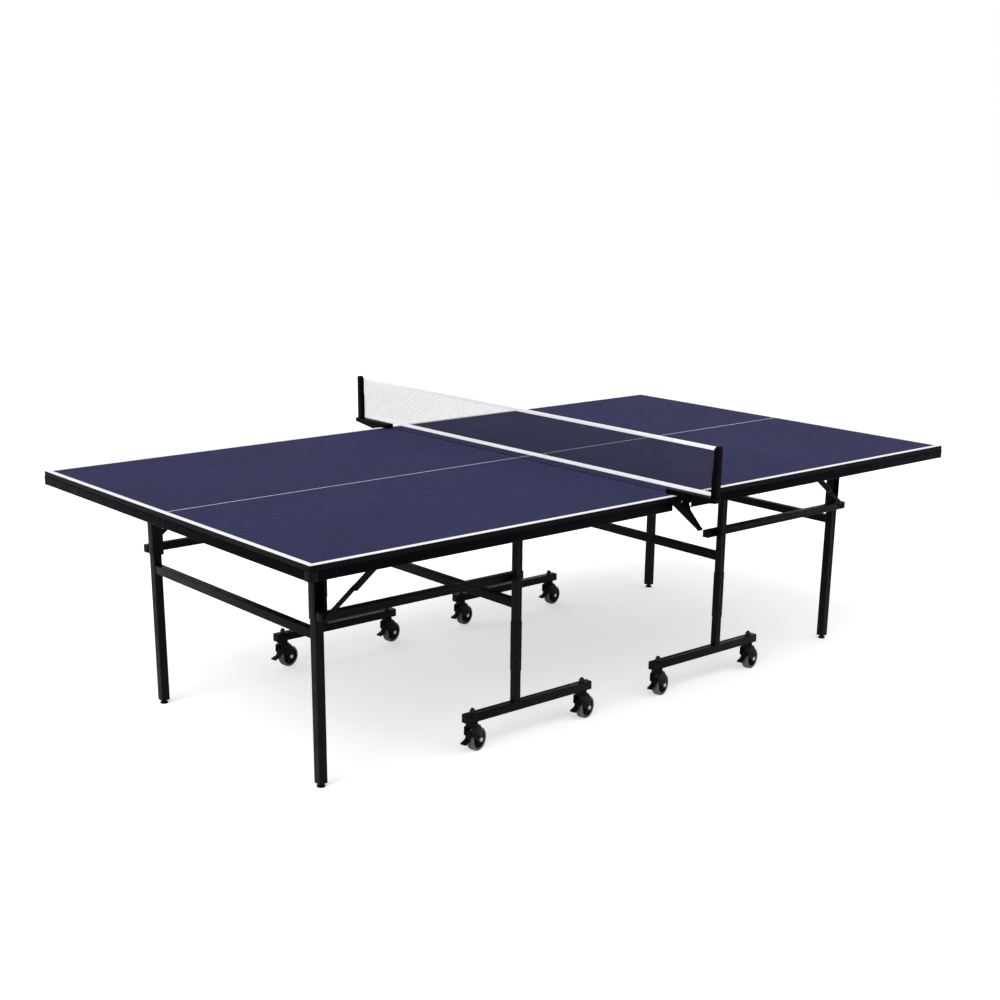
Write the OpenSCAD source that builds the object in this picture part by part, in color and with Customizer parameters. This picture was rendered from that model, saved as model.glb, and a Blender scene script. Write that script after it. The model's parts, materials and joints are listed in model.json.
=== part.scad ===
// Two-piece folding table tennis table on casters, with its clamped net.
// X runs along the table, Y across it, and the origin lies on the floor under the net.
// One half is modelled on +X and mirrored for the other, and u means the distance from the net.

/* [Playing surface] */
// Length of the two boards together, end to end
table_length = 2740; // [2500:10:2900]
// Width of the boards
table_width = 1525; // [1400:5:1700]
// Height of the playing surface above the floor
playing_height = 760; // [740:1:780]
// Thickness of each board
board_thickness = 16; // [12:1:20]
// Radius of the boards' outer corners
board_corner_r = 6; // [4:1:12]
// Gap between the two boards under the net
halves_gap = 6; // [5:0.5:10]

/* [Apron] */
// Height of the steel apron below the board
apron_height = 28; // [24:1:40]
// Width of the apron's flange under the board
apron_flange = 20; // [15:1:25]
// Sheet thickness of the apron
apron_wall = 2; // [1:0.5:2]
// Outside radius of the apron's bends
apron_bend_r = 3; // [2.5:0.5:4]
// How far the apron stands out past the board's edge
apron_proud = 1.5; // [0.5:0.5:3]
// Length of each leg of the plastic corner caps
corner_cap_leg = 26; // [24:1:40]
// Distance from the net to the ends of the side aprons
apron_setback = 42; // [35:1:60]

/* [Undercarriage] */
// Distance from the net to the wheeled frame's posts
post_u = 463; // [430:1:500]
// Distance from the table's side edge to the middle of each post
post_inset = 236.5; // [200:0.5:280]
// Outer size of the square post tube
post_tube = 24; // [20:1:28]
// Wall of the square tubes
tube_wall = 1.5; // [1:0.5:2]
// Radius of the square tubes' corners
tube_corner_r = 2; // [1:0.5:3]
// Wall of the sleeve that joins each post's upper and lower tubes
sleeve_wall = 1.5; // [1:0.5:3]
// Height of the sleeve's lower end above the floor
sleeve_bottom = 229; // [200:1:260]
// Length of the sleeve
sleeve_length = 158; // [120:1:180]
// Distance from the net to the inner end of the caster bars
bar_inner_u = 146; // [120:1:180]
// Distance from the net to the outer end of the caster bars
bar_outer_u = 667; // [620:1:700]
// Outer size of the caster bar's square tube
bar_tube = 28; // [24:1:32]
// Distance from each bar end to its caster's stem
stem_inset = 31; // [26:1:45]

/* [Folding frame] */
// Distance from the table's end to the middle of the end legs
leg_end_inset = 220; // [180:1:260]
// Outer size of the square leg tube
leg_tube = 28.5; // [25:0.5:32]
// Outer size of the square rail tube between post and leg
rail_tube = 25; // [20:1:28]
// Space between a rail and the tubes on each side of it
rail_side_gap = 8; // [6:0.5:12]
// Height of the rails' pivots above the floor
rail_height = 523; // [500:1:560]
// Length of rail past the post's pivot, towards the net
rail_inner_end = 44; // [30:1:60]
// Length of rail past the leg's pivot, towards the table's end
rail_outer_end = 16; // [12:1:22]
// Drop of the upper pivots below the board's underside
pivot_drop = 44; // [40:1:50]
// Distance of the brace's upper pivot from the post pivot
brace_top_offset = 417; // [380:1:450]
// Drop of the brace's upper pivot below the board's underside
brace_top_drop = 20; // [16:1:26]
// Length of the brace's lower link, between its pivots
brace_lower_length = 121; // [112:1:122]
// Width of the brace's lower link
brace_lower_w = 15; // [12:1:20]
// Width of the brace's upper link
brace_upper_w = 21; // [16:1:24]
// Thickness of the brace's flat links
brace_plate = 4; // [3:0.5:4.5]
// Height of the middle of the end legs' cross bar
leg_bar_height = 463; // [420:1:480]
// Height of the middle of the posts' cross bar
post_bar_height = 444; // [420:1:470]
// Radius of the pivot bolts
bolt_r = 4; // [3:0.5:5]
// Wall of the channel that heads each end leg
channel_t = 1.5; // [1.5:0.5:2.5]
// Distance from the leg's middle to the channel's face on the net side
channel_net_side = 21.5; // [18:0.5:26]

/* [Feet and casters] */
// Diameter of the caster wheels
wheel_d = 75; // [65:1:80]
// Width of the wheel's tread
wheel_w = 24; // [18:1:26]
// Horizontal offset from a caster's stem to its axle
caster_trail = 22; // [18:1:26]
// Diameter of the levelling feet's discs
foot_d = 26; // [22:1:32]
// Gap between the floor and the end of the leg tube
leg_clearance = 15; // [12:1:20]

/* [Net] */
// Height of the top of the net above the playing surface
net_height = 169; // [155:0.5:175]
// Gap between the net's lower edge and the playing surface
net_lift = 17; // [17:0.5:20]
// Overhang of the net posts' outer faces past the table's edge
net_overhang = 152.5; // [140:0.5:160]
// Size of the net post across and along the net
net_post = 18; // [16:1:24]
// Height of the net posts above the playing surface
net_post_height = 174; // [165:1:185]
// Reach of the clamp arm over the board, from the side edge
clamp_reach = 46; // [35:1:60]
// Width of the clamp arm along the table
clamp_w = 28; // [26:1:34]
// Height of the clamp arm, a channel that rests on the board
clamp_arm_h = 14; // [12:0.5:14]
// Width of the clamp lever
lever_w = 16; // [12:1:18]
// Thickness of the net's tapes
tape_t = 3; // [2:0.5:4]
// Width of the net's tapes
tape_w = 12; // [10:1:18]

/* [Hidden] */
$fn = 48;

eps = 0.01;
// Gap left between welded or seated solids so that each stays one solid
seam = 0.02;
run_fit = 0.05;
free_gap = 0.3;

// Board and apron
half_length = table_length / 2;
half_width = table_width / 2;
board_inner_u = halves_gap / 2;
board_bottom = playing_height - board_thickness;
apron_bottom = board_bottom - apron_height;
apron_u = half_length + apron_proud;
apron_y = half_width + apron_proud;

// Pivots: A post to board frame, B leg to board frame, C leg to rail, D post to rail
pivot_z = board_bottom - pivot_drop;
leg_u = half_length - leg_end_inset;
post_y = half_width - post_inset;
rail_y = post_y - post_tube / 2 - rail_side_gap - rail_tube / 2;
leg_y = rail_y - rail_tube / 2 - rail_side_gap - leg_tube / 2;
ear_t = 3;
ear_r = 14;
ear_gap = 0.5;
thin_head_h = 2.2;
rivet_head_h = 1.8;

// Under frame
cross_rail_h = 25;
cross_rail_w = 28;
cross_rail_y = apron_y - apron_flange;
leg_cross_u = leg_u + 56;
bracket_foot_t = 3;

// Leg and its channel head
channel_bottom = rail_height - 15;
channel_top = pivot_z + 10;
leg_tube_top = rail_height + 13;
plug_flange = 3;

// Brace: both links lie outside the rail, one behind the other
brace_f_u = post_u + brace_top_offset;
brace_f_z = board_bottom - brace_top_drop;
brace_run = leg_u - brace_f_u;
brace_rise = brace_f_z - rail_height;
brace_span = sqrt(brace_run * brace_run + brace_rise * brace_rise);
brace_tilt = atan2(brace_rise, brace_run);
brace_upper_length = brace_span - brace_lower_length;
lower_link_y = rail_y + rail_tube / 2 + 0.5;
link_gap = 2.5;
upper_link_y = lower_link_y + brace_plate + link_gap;

// Undercarriage
sleeve_top = sleeve_bottom + sleeve_length;
stem_z = wheel_d + 25;
bar_bottom = stem_z;
bar_top = bar_bottom + bar_tube;
stem_inner_u = bar_inner_u + stem_inset;
stem_outer_u = bar_outer_u - stem_inset;
stem_r = 5;
bar_cap_t = 3;
rail_cap_t = 3;
lower_post_top = sleeve_bottom + sleeve_length / 2 - 2;
upper_post_bottom = sleeve_bottom + sleeve_length / 2 + 2;
sleeve_bolt_inset = 28;

// Casters: [u of the stem, side along X, side along Y, swivel angle]
caster_places = [
  [stem_outer_u, -1, -1, 15], [stem_inner_u, -1, -1, 12],
  [stem_outer_u, -1, 1, 9], [stem_inner_u, -1, 1, 12],
  [stem_inner_u, 1, -1, 14], [stem_outer_u, 1, -1, 10],
  [stem_inner_u, 1, 1, 12], [stem_outer_u, 1, 1, 8]
];
wheel_r = wheel_d / 2;
axle_r = 4;
cheek_t = 2.5;
cheek_gap = 2.5;
cheek_y = wheel_w / 2 + cheek_gap;
fork_top = stem_z - free_gap;
fork_plate_z = fork_top - 14;
fork_plate_r = 21.5;
fork_plate_t = 3;
race_r = 17;
axle_head_r = 6.5;
axle_head_h = 3;
tyre_t = 8;
tyre_shoulder = 4;
pedal_pin = [-14, wheel_r + 29];
pedal_pin_r = 2.5;
pedal_barrel_r = 5.5;
pedal_w = wheel_w - 4;

// Levelling feet
foot_h = 5;
foot_stem_r = 4;
foot_stem_top = leg_clearance + 45;

// Net clamp, measured outwards along Y from the middle of the table
clamp_inner_y = half_width - clamp_reach;
net_post_outer_y = half_width + net_overhang;
net_post_inner_y = net_post_outer_y - net_post;
clamp_outer_y = net_post_outer_y + 3;
arm_bottom = playing_height + 2.5;
arm_top = arm_bottom + clamp_arm_h;
arm_end_r = 4;
clamp_pin = [half_width + 24, board_bottom + 3.5];
clamp_pin_r = 3;
clamp_wall = 2.5;
clamp_x1 = board_inner_u - free_gap;
clamp_x0 = clamp_x1 - clamp_w;
clamp_pad_w = clamp_w - 2;
clamp_pad_length = clamp_reach - 12;
net_post_x1 = clamp_x1 - 1.2;
net_post_flare = 4;
lever_x0 = clamp_x0 + clamp_wall + 1;
lever_x1 = lever_x0 + lever_w;
lever_wall = 2.5;
lever_side_gap = 1;
lever_web_t = 3;
jaw_y = half_width - 20;
jaw_w = 18;
jaw_top = board_bottom - free_gap;
jaw_pad_t = 3;
lever_tip = [half_width + 91, board_bottom - 72];
lever_tip_r = 4.5;
lever_bottom = board_bottom - 15;
net_top = playing_height + net_height;
net_bottom = playing_height + net_lift;

black = [0.07, 0.07, 0.08];
satin_black = [0.10, 0.10, 0.11];
navy = [0.13, 0.14, 0.23];
tyre_grey = [0.30, 0.30, 0.32];
zinc = [0.72, 0.73, 0.75];

// ---- shared shapes ----

module half(side) {
  if (side > 0) children();
  else mirror([1, 0, 0]) children();
}

module both_sides() {
  children();
  mirror([0, 1, 0]) children();
}

module rounded_rect(w, h, r) {
  square([w - 2 * r, h], center = true);
  square([w, h - 2 * r], center = true);
  for (x = [-1, 1], y = [-1, 1]) translate([x * (w / 2 - r), y * (h / 2 - r)]) circle(r);
}

module tube_outline(w, h) {
  difference() {
    rounded_rect(w, h, tube_corner_r);
    square([w - 2 * tube_wall, h - 2 * tube_wall], center = true);
  }
}

// Tubes along X, Y and Z, between two distances from the origin, w wide and h tall
module tube_x(x0, x1, y, z, w, h) {
  translate([x0, y, z]) rotate([90, 0, 90]) linear_extrude(x1 - x0) tube_outline(w, h);
}

module tube_y(y0, y1, x, z, w, h) {
  translate([x, y1, z]) rotate([90, 0, 0]) linear_extrude(y1 - y0) tube_outline(w, h);
}

module tube_z(z0, z1, x, y, w) {
  translate([x, y, z0]) linear_extrude(z1 - z0) tube_outline(w, w);
}

// Cylinder along +Y from y0 to y1, centred at x and z
module rod_y(y0, y1, x, z, r) {
  translate([x, y0, z]) rotate([-90, 0, 0]) cylinder(r = r, h = y1 - y0);
}

module rod_x(x0, x1, y, z, r) {
  translate([x0, y, z]) rotate([0, 90, 0]) cylinder(r = r, h = x1 - x0);
}

// Bolt along Y with a hexagon head of height inner_h at its inner end and a domed nut outside
module bolt_y(y0, y1, x, z, r = bolt_r, inner_h = 0) {
  head_r = r * 1.75;
  head_h = r * 1.1;
  hex_h = inner_h > 0 ? inner_h : head_h;
  rod_y(y0 - seam - hex_h, y1 + seam + head_h / 2, x, z, r);
  rod_y(y1 + seam, y1 + seam + head_h / 2, x, z, head_r);
  rod_y(y1 + seam + head_h / 2, y1 + seam + head_h, x, z, head_r * 0.7);
  translate([x, y0 - seam - hex_h, z]) rotate([-90, 0, 0]) cylinder(r = head_r, h = hex_h, $fn = 6);
}

// Rivet along Y with low flat heads
module rivet_y(y0, y1, x, z) {
  rod_y(y0 - seam - rivet_head_h, y1 + free_gap + rivet_head_h, x, z, bolt_r);
  rod_y(y0 - seam - rivet_head_h, y0 - seam, x, z, bolt_r * 1.75);
  rod_y(y1 + free_gap, y1 + free_gap + rivet_head_h, x, z, bolt_r * 1.75);
}

// Spacer ring along Y round a bolt
module spacer_y(y0, y1, x, z, r = bolt_r) {
  difference() {
    rod_y(y0, y1, x, z, r + 4);
    rod_y(y0 - 1, y1 + 1, x, z, r + run_fit);
  }
}

// Plate standing in the XZ plane from y0 to y1, drawn in x and z
module plate_xz(y0, y1) {
  translate([0, y1, 0]) rotate([90, 0, 0]) linear_extrude(y1 - y0) children();
}

// Plate standing in the YZ plane from x0 to x1, drawn in y and z
module plate_yz(x0, x1) {
  translate([x0, 0, 0]) rotate([90, 0, 90]) linear_extrude(x1 - x0) children();
}

// ---- board and apron ----

module board_outline() {
  u1 = half_length;
  y1 = half_width;
  r = board_corner_r;
  translate([board_inner_u, -y1]) square([u1 - r - board_inner_u, 2 * y1]);
  translate([u1 - r - 1, -y1 + r]) square([r + 1, 2 * (y1 - r)]);
  for (s = [-1, 1]) translate([u1 - r, s * (y1 - r)]) circle(r);
}

module tabletop() {
  color(navy) translate([0, 0, board_bottom]) linear_extrude(board_thickness) board_outline();
}

// Bend between the apron's web and a flange, in the corner at +x and +y
module apron_bend() {
  intersection() {
    difference() {
      circle(apron_bend_r);
      circle(apron_bend_r - apron_wall);
    }
    square(apron_bend_r);
  }
}

// C-section apron, with its web at 0 and its flanges towards -x
module apron_section() {
  r = apron_bend_r;
  lower_flange = apron_flange / 2;
  translate([-apron_wall, r]) square([apron_wall, apron_height - 2 * r]);
  translate([-r, apron_height - r]) apron_bend();
  translate([-r, r]) mirror([0, 1]) apron_bend();
  translate([-apron_flange, apron_height - apron_wall]) square([apron_flange - r, apron_wall]);
  translate([-lower_flange, 0]) square([lower_flange - r, apron_wall]);
}

module apron_rails() {
  color(black) {
    both_sides()
      translate([apron_setback, apron_y, apron_bottom])
        rotate([90, 0, 90])
          linear_extrude(apron_u - corner_cap_leg - apron_setback) apron_section();
    translate([apron_u, apron_y - corner_cap_leg, apron_bottom])
      rotate([90, 0, 0])
        linear_extrude(2 * (apron_y - corner_cap_leg)) apron_section();
  }
}

// L-shaped cap with a rounded outer corner at the origin, filling -x and -y
module corner_cap_outline() {
  r = board_corner_r + apron_proud;
  wall = apron_wall + 1;
  c = corner_cap_leg;
  difference() {
    union() {
      translate([-c, -c]) square([c - r, c]);
      translate([-c, -c]) square([c, c - r]);
      translate([-r, -r]) circle(r);
    }
    translate([-c - 1, -c - 1]) square([c + 1 - wall, c + 1 - wall]);
  }
}

module corner_caps() {
  color(satin_black)
    both_sides()
      translate([apron_u, apron_y, apron_bottom]) {
        linear_extrude(apron_height) corner_cap_outline();
        translate([-corner_cap_leg, -corner_cap_leg, apron_height - apron_wall])
          cube([corner_cap_leg - apron_wall - 1 + eps, corner_cap_leg - apron_wall - 1 + eps, apron_wall]);
      }
}

// ---- frame under the board, with the hinge brackets welded to it ----

// Ear with a bored round end at x and z and a square top at z_top
module ear(y0, y1, x, z, z_top, bore_r) {
  difference() {
    plate_xz(y0, y1) {
      translate([x, z]) circle(ear_r);
      translate([x - ear_r, z]) square([2 * ear_r, z_top - z]);
    }
    rod_y(y0 - 1, y1 + 1, x, z, bore_r);
  }
}

// Two ears that straddle a tube of width w centred at y, and the bolt through them
module clevis(x, y, w, z, z_top) {
  inner_face = y - w / 2 - ear_gap;
  outer_face = y + w / 2 + ear_gap;
  ear(inner_face - ear_t, inner_face, x, z, z_top, bolt_r + run_fit);
  ear(outer_face, outer_face + ear_t, x, z, z_top, bolt_r + run_fit);
  bolt_y(inner_face - ear_t, outer_face + ear_t, x, z, bolt_r, thin_head_h);
}

module under_frame() {
  color(black) {
    for (u = [post_u, leg_cross_u])
      tube_y(-cross_rail_y, cross_rail_y, u, board_bottom - cross_rail_h / 2,
             cross_rail_w, cross_rail_h);
    both_sides() {
      clevis(post_u, post_y, post_tube, pivot_z, board_bottom - cross_rail_h - seam);
      leg_clevis();
      brace_bracket();
    }
  }
}

// The leg's clevis hangs from a foot plate that is screwed to the board beside the cross rail
module leg_clevis() {
  w = leg_tube + channel_t;
  mid_y = leg_y - channel_t / 2;
  foot_w = w + 2 * (ear_gap + ear_t);
  clevis(leg_u, mid_y, w, pivot_z, board_bottom - bracket_foot_t);
  translate([leg_u - ear_r, mid_y - foot_w / 2, board_bottom - bracket_foot_t])
    cube([leg_cross_u - cross_rail_w / 2 - seam - leg_u + ear_r, foot_w, bracket_foot_t]);
}

// One ear beside the brace's upper link, on a foot plate under the board
module brace_bracket() {
  ear_y = upper_link_y + brace_plate + ear_gap;
  ear(ear_y, ear_y + ear_t, brace_f_u, brace_f_z, board_bottom - bracket_foot_t, bolt_r + run_fit);
  translate([brace_f_u - ear_r, ear_y, board_bottom - bracket_foot_t])
    cube([2 * ear_r, 30, bracket_foot_t]);
  bolt_y(upper_link_y, ear_y + ear_t, brace_f_u, brace_f_z, bolt_r, thin_head_h);
}

// ---- wheeled undercarriage ----

module post_frame() {
  color(black) {
    both_sides()
      difference() {
        tube_z(upper_post_bottom, pivot_z + post_tube / 2 - 2, post_u, post_y, post_tube);
        rod_y(post_y - post_tube, post_y + post_tube, post_u, pivot_z, bolt_r + run_fit);
        rod_y(post_y - post_tube, post_y + post_tube, post_u, rail_height, bolt_r + run_fit);
        rod_y(post_y - post_tube, post_y + post_tube, post_u, sleeve_top - sleeve_bolt_inset,
              bolt_r - 1 + run_fit);
      }
    tube_y(-post_y + post_tube / 2 + seam, post_y - post_tube / 2 - seam, post_u,
           post_bar_height, post_tube, bar_tube);
  }
}

module post_sleeves() {
  w = post_tube + 2 * sleeve_wall;
  color(black)
    both_sides()
      difference() {
        translate([post_u, post_y, sleeve_bottom])
          linear_extrude(sleeve_length)
            difference() {
              rounded_rect(w, w, tube_corner_r + sleeve_wall);
              rounded_rect(post_tube, post_tube, tube_corner_r);
            }
        for (z = [sleeve_bottom + sleeve_bolt_inset, sleeve_top - sleeve_bolt_inset])
          rod_y(post_y - w, post_y + w, post_u, z, bolt_r - 1 + run_fit);
      }
}

module caster_bars() {
  color(black)
    both_sides() {
      difference() {
        tube_x(bar_inner_u + bar_cap_t, bar_outer_u - bar_cap_t, post_y,
               (bar_bottom + bar_top) / 2, bar_tube, bar_tube);
        for (u = [stem_inner_u, stem_outer_u])
          translate([u, post_y, bar_bottom - 1]) cylinder(r = stem_r + run_fit, h = bar_tube + 2);
      }
      difference() {
        tube_z(bar_top + seam, lower_post_top, post_u, post_y, post_tube);
        rod_y(post_y - post_tube, post_y + post_tube, post_u, sleeve_bottom + sleeve_bolt_inset,
              bolt_r - 1 + run_fit);
      }
    }
}

module bar_caps() {
  plug = bar_tube - 2 * tube_wall - 2 * run_fit;
  color(satin_black)
    both_sides()
      for (end = [[bar_inner_u, 1], [bar_outer_u, -1]]) {
        x_face = end[1] > 0 ? end[0] : end[0] - bar_cap_t;
        x_plug = end[1] > 0 ? end[0] + bar_cap_t - eps : end[0] - bar_cap_t - 12;
        translate([x_face, post_y, (bar_bottom + bar_top) / 2])
          rotate([90, 0, 90]) linear_extrude(bar_cap_t) rounded_rect(bar_tube, bar_tube, tube_corner_r);
        translate([x_plug, post_y - plug / 2, bar_bottom + (bar_tube - plug) / 2])
          cube([12 + eps, plug, plug]);
      }
}

// Caster stem: head under the fork's plate, shank through the bar, acorn nut on top
module caster_stem(u) {
  translate([u, post_y, 0]) {
    translate([0, 0, fork_plate_z - 5]) cylinder(r = stem_r, h = bar_top - fork_plate_z + 11);
    translate([0, 0, fork_plate_z - 5 - free_gap]) cylinder(r = 9, h = 5, $fn = 6);
    translate([0, 0, bar_top + seam]) cylinder(r = 11, h = 1.5);
    translate([0, 0, bar_top + 1.5]) cylinder(r = 9.5, h = 7, $fn = 6);
    translate([0, 0, bar_top + 8.5])
      rotate_extrude() intersection() { circle(7.5); square([8, 9]); }
  }
}

module undercarriage_bolts() {
  sleeve_w = post_tube + 2 * sleeve_wall;
  rail_inner_face = rail_y - rail_tube / 2;
  color(zinc)
    both_sides() {
      for (z = [sleeve_bottom + sleeve_bolt_inset, sleeve_top - sleeve_bolt_inset])
        bolt_y(post_y - sleeve_w / 2, post_y + sleeve_w / 2, post_u, z, bolt_r - 1);
      bolt_y(rail_inner_face - free_gap, post_y + post_tube / 2, post_u, rail_height);
      spacer_y(rail_y + rail_tube / 2 + free_gap, post_y - post_tube / 2 - seam, post_u, rail_height);
      caster_stem(stem_inner_u);
      caster_stem(stem_outer_u);
    }
}

// ---- end legs and rails ----

// Channel round the leg's head, open outwards, with a bush for its pivot
module leg_channel() {
  x0 = leg_u - channel_net_side;
  x1 = leg_u + leg_tube / 2 + channel_t;
  y0 = leg_y - leg_tube / 2 - channel_t;
  translate([0, 0, channel_bottom])
    linear_extrude(channel_top - channel_bottom) {
      translate([x0, y0]) square([x1 - x0, channel_t]);
      translate([x0, y0]) square([channel_t, leg_tube + channel_t]);
      translate([x1 - channel_t, y0]) square([channel_t, leg_tube + channel_t]);
    }
  rod_y(y0, leg_y + leg_tube / 2, leg_u, pivot_z, bolt_r + 4);
}

module end_legs() {
  tube_face = leg_y + leg_tube / 2;
  color(black) {
    both_sides() {
      difference() {
        union() {
          tube_z(leg_clearance, leg_tube_top, leg_u, leg_y, leg_tube);
          leg_channel();
        }
        rod_y(leg_y - leg_tube, leg_y + leg_tube, leg_u, rail_height, bolt_r + run_fit);
        rod_y(leg_y - leg_tube, leg_y + leg_tube, leg_u, pivot_z, bolt_r + run_fit);
      }
      rivet_y(leg_y - leg_tube / 2 - channel_t, lower_link_y + brace_plate, leg_u, rail_height);
      spacer_y(tube_face + seam, rail_y - rail_tube / 2 - free_gap, leg_u, rail_height);
    }
    tube_y(-leg_y + leg_tube / 2 + seam, leg_y - leg_tube / 2 - seam, leg_u,
           leg_bar_height, leg_tube - 3, bar_tube);
  }
}

module leg_plugs() {
  plug = leg_tube - 2 * tube_wall - 2 * run_fit;
  color(satin_black)
    both_sides()
      translate([leg_u, leg_y, 0])
        difference() {
          union() {
            translate([0, 0, leg_clearance - plug_flange])
              linear_extrude(plug_flange) rounded_rect(leg_tube, leg_tube, tube_corner_r);
            translate([-plug / 2, -plug / 2, leg_clearance - eps]) cube([plug, plug, 22]);
          }
          translate([0, 0, leg_clearance - plug_flange - 1]) cylinder(r = foot_stem_r + run_fit, h = 40);
        }
}

module leveller() {
  color(satin_black)
    translate([leg_u, leg_y, 0]) {
      cylinder(r = foot_d / 2, h = foot_h - 1);
      translate([0, 0, foot_h - 1]) cylinder(r = foot_d / 2 - 2, h = 1);
      cylinder(r = foot_stem_r, h = foot_stem_top);
      translate([0, 0, foot_h]) cylinder(r = 7.5, h = 4, $fn = 6);
    }
}

module side_rails() {
  x0 = post_u - rail_inner_end;
  x1 = leg_u + rail_outer_end;
  color(black)
    both_sides() {
      difference() {
        tube_x(x0 + rail_cap_t, x1 - rail_cap_t, rail_y, rail_height, rail_tube, rail_tube);
        rod_y(rail_y - rail_tube, rail_y + rail_tube, post_u, rail_height, bolt_r + run_fit);
        rod_y(rail_y - rail_tube, rail_y + rail_tube, leg_u, rail_height, bolt_r + free_gap);
      }
      for (x = [x0 - seam, x1 - rail_cap_t + seam])
        translate([x, rail_y, rail_height])
          rotate([90, 0, 90]) linear_extrude(rail_cap_t) rounded_rect(rail_tube, rail_tube, tube_corner_r);
    }
}

// Flat link with round bored ends, from one pivot to the other
module link(x0, z0, x1, z1, w, y0, hole_0, hole_1) {
  length = sqrt((x1 - x0) * (x1 - x0) + (z1 - z0) * (z1 - z0));
  difference() {
    plate_xz(y0, y0 + brace_plate)
      translate([x0, z0]) rotate(atan2(z1 - z0, x1 - x0)) {
        circle(w / 2);
        translate([length, 0]) circle(w / 2);
        translate([0, -w / 2]) square([length, w]);
      }
    if (hole_0 > 0) rod_y(y0 - 1, y0 + brace_plate + 1, x0, z0, hole_0);
    if (hole_1 > 0) rod_y(y0 - 1, y0 + brace_plate + 1, x1, z1, hole_1);
  }
}

elbow_u = leg_u - brace_lower_length * cos(brace_tilt);
elbow_z = rail_height + brace_lower_length * sin(brace_tilt);
elbow_boss_r = 6;

module brace_upper_links() {
  color(black)
    both_sides() {
      link(brace_f_u, brace_f_z, elbow_u, elbow_z, brace_upper_w, upper_link_y, bolt_r + run_fit, 0);
      rod_y(upper_link_y - link_gap + free_gap, upper_link_y + eps, elbow_u, elbow_z, elbow_boss_r);
      rod_y(upper_link_y + brace_plate - eps, upper_link_y + brace_plate + rivet_head_h, elbow_u, elbow_z,
            elbow_boss_r);
    }
}

module brace_lower_links() {
  color(black)
    both_sides()
      link(leg_u, rail_height, elbow_u, elbow_z, brace_lower_w, lower_link_y, bolt_r + run_fit, 0);
}

// ---- casters ----

module at_caster(i) {
  place = caster_places[i];
  translate([place[0] * place[1], post_y * place[2], 0]) rotate([0, 0, place[3]]) children();
}

module cheek_outline() {
  knee = caster_trail - 6;
  polygon([
    [-21, fork_plate_z], [-22, pedal_pin[1] - 7], [-16, pedal_pin[1] - 12],
    [caster_trail - 13, wheel_r - 4], [knee, wheel_r - 11],
    [caster_trail + 6, wheel_r - 11], [caster_trail + 13, wheel_r - 3],
    [caster_trail + 12, wheel_r + 16], [21, fork_plate_z]
  ]);
}

// Fork: a top plate with its ball race, two cheeks, the axle and the pedal's pin
module fork(i) {
  cheek_outer = cheek_y + cheek_t;
  color(black)
    at_caster(i) {
      difference() {
        union() {
          translate([0, 0, fork_plate_z]) cylinder(r = fork_plate_r, h = fork_plate_t);
          translate([0, 0, fork_plate_z + fork_plate_t - eps])
            cylinder(r = race_r, h = fork_top - fork_plate_z - fork_plate_t + eps);
          for (y = [-cheek_outer, cheek_y]) plate_xz(y, y + cheek_t) cheek_outline();
        }
        translate([0, 0, fork_plate_z - 1]) cylinder(r = stem_r + run_fit, h = 30);
      }
      rod_y(-cheek_y, cheek_y, caster_trail, wheel_r, axle_r);
      for (y = [-cheek_outer - axle_head_h, cheek_outer])
        rod_y(y, y + axle_head_h, caster_trail, wheel_r, axle_head_r);
      rod_y(-cheek_y, cheek_y, pedal_pin[0], pedal_pin[1], pedal_pin_r);
    }
}

// Tyre on its hub, both turned about the axle
module wheel(i) {
  half_w = wheel_w / 2;
  rim_r = wheel_r - tyre_t;
  inner_r = rim_r + seam;
  bore_r = axle_r + run_fit;
  at_caster(i)
    translate([caster_trail, 0, wheel_r])
      rotate([90, 0, 0]) {
        color(tyre_grey)
          rotate_extrude($fn = 72)
            difference() {
              union() {
                translate([inner_r, -half_w]) square([wheel_r - inner_r - tyre_shoulder, wheel_w]);
                translate([inner_r, -half_w + tyre_shoulder])
                  square([wheel_r - inner_r, wheel_w - 2 * tyre_shoulder]);
                for (s = [-1, 1])
                  translate([wheel_r - tyre_shoulder, s * (half_w - tyre_shoulder)]) circle(tyre_shoulder);
              }
              translate([0, -half_w - 1]) square([inner_r, wheel_w + 2]);
            }
        color(satin_black)
          rotate_extrude($fn = 72) {
            translate([bore_r, -half_w - 1.5]) square([8, wheel_w + 3]);
            translate([bore_r, -half_w + 4]) square([rim_r - bore_r, wheel_w - 8]);
            translate([rim_r - 4, -half_w + 1]) square([4, wheel_w - 2]);
          }
      }
}

// Side view of the pedal: a barrel on its pin, the shoe, an arm and the rounded tread at its end
module pedal_outline() {
  knee = [-28, wheel_r + 7];
  tread_t = 7;
  drop = knee - pedal_pin;
  slope = [-18, -5];
  shoe_z = pedal_pin[1] - 8.5;
  translate(pedal_pin) circle(pedal_barrel_r);
  translate([pedal_pin[0], shoe_z]) circle(2);
  translate([pedal_pin[0] - 2, shoe_z]) square([4, 5]);
  translate(pedal_pin) rotate(atan2(drop[1], drop[0])) translate([0, -1.5]) square([norm(drop), 3]);
  translate(knee) rotate(atan2(slope[1], slope[0])) {
    circle(tread_t / 2);
    translate([norm(slope), 0]) circle(tread_t / 2);
    translate([0, -tread_t / 2]) square([norm(slope), tread_t]);
  }
}

module brake_pedal(i) {
  color(satin_black)
    at_caster(i)
      difference() {
        plate_xz(-pedal_w / 2, pedal_w / 2) pedal_outline();
        rod_y(-pedal_w, pedal_w, pedal_pin[0], pedal_pin[1], pedal_pin_r + run_fit);
      }
}

// ---- net ----

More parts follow.
